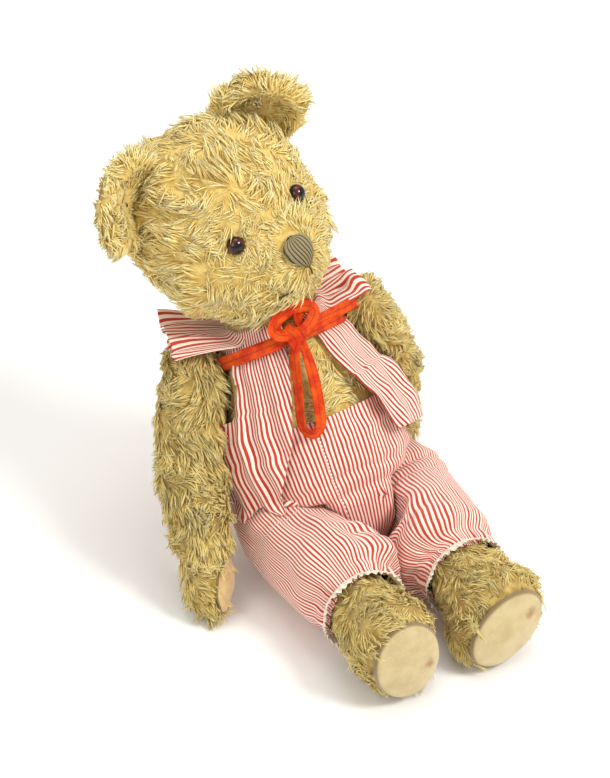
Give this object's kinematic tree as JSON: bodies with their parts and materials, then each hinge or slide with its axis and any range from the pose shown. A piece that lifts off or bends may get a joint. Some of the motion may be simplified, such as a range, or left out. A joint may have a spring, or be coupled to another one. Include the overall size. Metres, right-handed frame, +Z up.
{
  "type": "teddy bear",
  "caption": "Worn mohair bear with disc-jointed head, arms and legs, sitting, in a striped cotton bolero and trousers tied with a red ribbon.",
  "frame": {"origin": "on the surface it sits on, under the middle of the whole object", "axes": "+Z up, the bear faces -Y, its own left side is +X"},
  "size_m": [0.221, 0.2932, 0.2887],
  "materials": {
    "wood_wool": "curly dry wood wool, matt",
    "mohair_straw": "long curly mohair pile, straw gold, ochre where it is deep, worn and matted",
    "mohair_tan": "long curly mohair pile, olive tan, matted and grey with dirt",
    "felt": "thin worn felt, buff, with stains",
    "card": "hard pressed card",
    "steel": "old bright steel",
    "eye_glass": "dark amber glass with a black pupil",
    "thread": "grey brown silk thread in vertical satin stitches",
    "striped_cotton": "thin washed cotton with fine red and white stripes, creased",
    "ribbon_red": "woven satin ribbon, orange red",
    "lace_cream": "gathered cream edging",
    "elastic": "woven flat elastic"
  },
  "bodies": {
    "torso": {"torso_cover": "mohair_straw", "torso_stuffing": "wood_wool", "neck_torso_disc": "card", "neck_torso_washer": "steel", "shoulder_left_torso_disc": "card", "shoulder_left_torso_washer": "steel", "shoulder_right_torso_disc": "card", "shoulder_right_torso_washer": "steel", "hip_left_torso_disc": "card", "hip_left_torso_washer": "steel", "hip_right_torso_disc": "card", "hip_right_torso_washer": "steel", "trousers_trunk": "striped_cotton", "vest": "striped_cotton", "ribbon": "ribbon_red"},
    "head": {"head_cover": "mohair_straw", "head_stuffing": "wood_wool", "neck_head_disc": "card", "neck_head_washer": "steel", "neck_pin": "steel", "eye_left": "eye_glass", "eye_wire_left": "steel", "eye_right": "eye_glass", "eye_wire_right": "steel", "ear_left": "mohair_straw", "ear_right": "mohair_straw", "nose_stitching": "thread", "mouth_stitching": "thread"},
    "arm_left": {"arm_cover_left": "mohair_tan", "paw_pad_left": "felt", "arm_stuffing_left": "wood_wool", "shoulder_left_limb_disc": "card", "shoulder_left_limb_washer": "steel", "shoulder_left_pin": "steel"},
    "arm_right": {"arm_cover_right": "mohair_tan", "paw_pad_right": "felt", "arm_stuffing_right": "wood_wool", "shoulder_right_limb_disc": "card", "shoulder_right_limb_washer": "steel", "shoulder_right_pin": "steel"},
    "leg_left": {"leg_cover_left": "mohair_tan", "sole_pad_left": "felt", "insole_left": "card", "leg_stuffing_left": "wood_wool", "hip_left_limb_disc": "card", "hip_left_limb_washer": "steel", "hip_left_pin": "steel", "trouser_leg_left": "striped_cotton", "cuff_elastic_left": "elastic", "cuff_frill_left": "lace_cream"},
    "leg_right": {"leg_cover_right": "mohair_tan", "sole_pad_right": "felt", "insole_right": "card", "leg_stuffing_right": "wood_wool", "hip_right_limb_disc": "card", "hip_right_limb_washer": "steel", "hip_right_pin": "steel", "trouser_leg_right": "striped_cotton", "cuff_elastic_right": "elastic", "cuff_frill_right": "lace_cream"}
  },
  "joints": [
    {"name": "neck_swivel", "type": "hinge", "parent": "torso", "child": "head", "pos_m": [-0.00585, 0.07376, 0.15507], "axis": [-0.2178, 0.2406, 0.9459], "range_deg": [-75, 40]},
    {"name": "shoulder_left", "type": "hinge", "parent": "torso", "child": "arm_left", "pos_m": [0.04588, 0.05146, 0.12253], "axis": [-0.9186, -0.1255, -0.3747], "range_deg": [-35, 125]},
    {"name": "shoulder_right", "type": "hinge", "parent": "torso", "child": "arm_right", "pos_m": [-0.04499, 0.05146, 0.10814], "axis": [-0.967, 0.1816, 0.1786], "range_deg": [-90, 70]},
    {"name": "hip_left", "type": "hinge", "parent": "torso", "child": "leg_left", "pos_m": [0.03127, 0.00637, 0.035], "axis": [-1, 0, 0], "range_deg": [-65, 30]},
    {"name": "hip_right", "type": "hinge", "parent": "torso", "child": "leg_right", "pos_m": [-0.00493, 0.00637, 0.035], "axis": [-1, 0, 0], "range_deg": [-65, 30]}
  ]
}
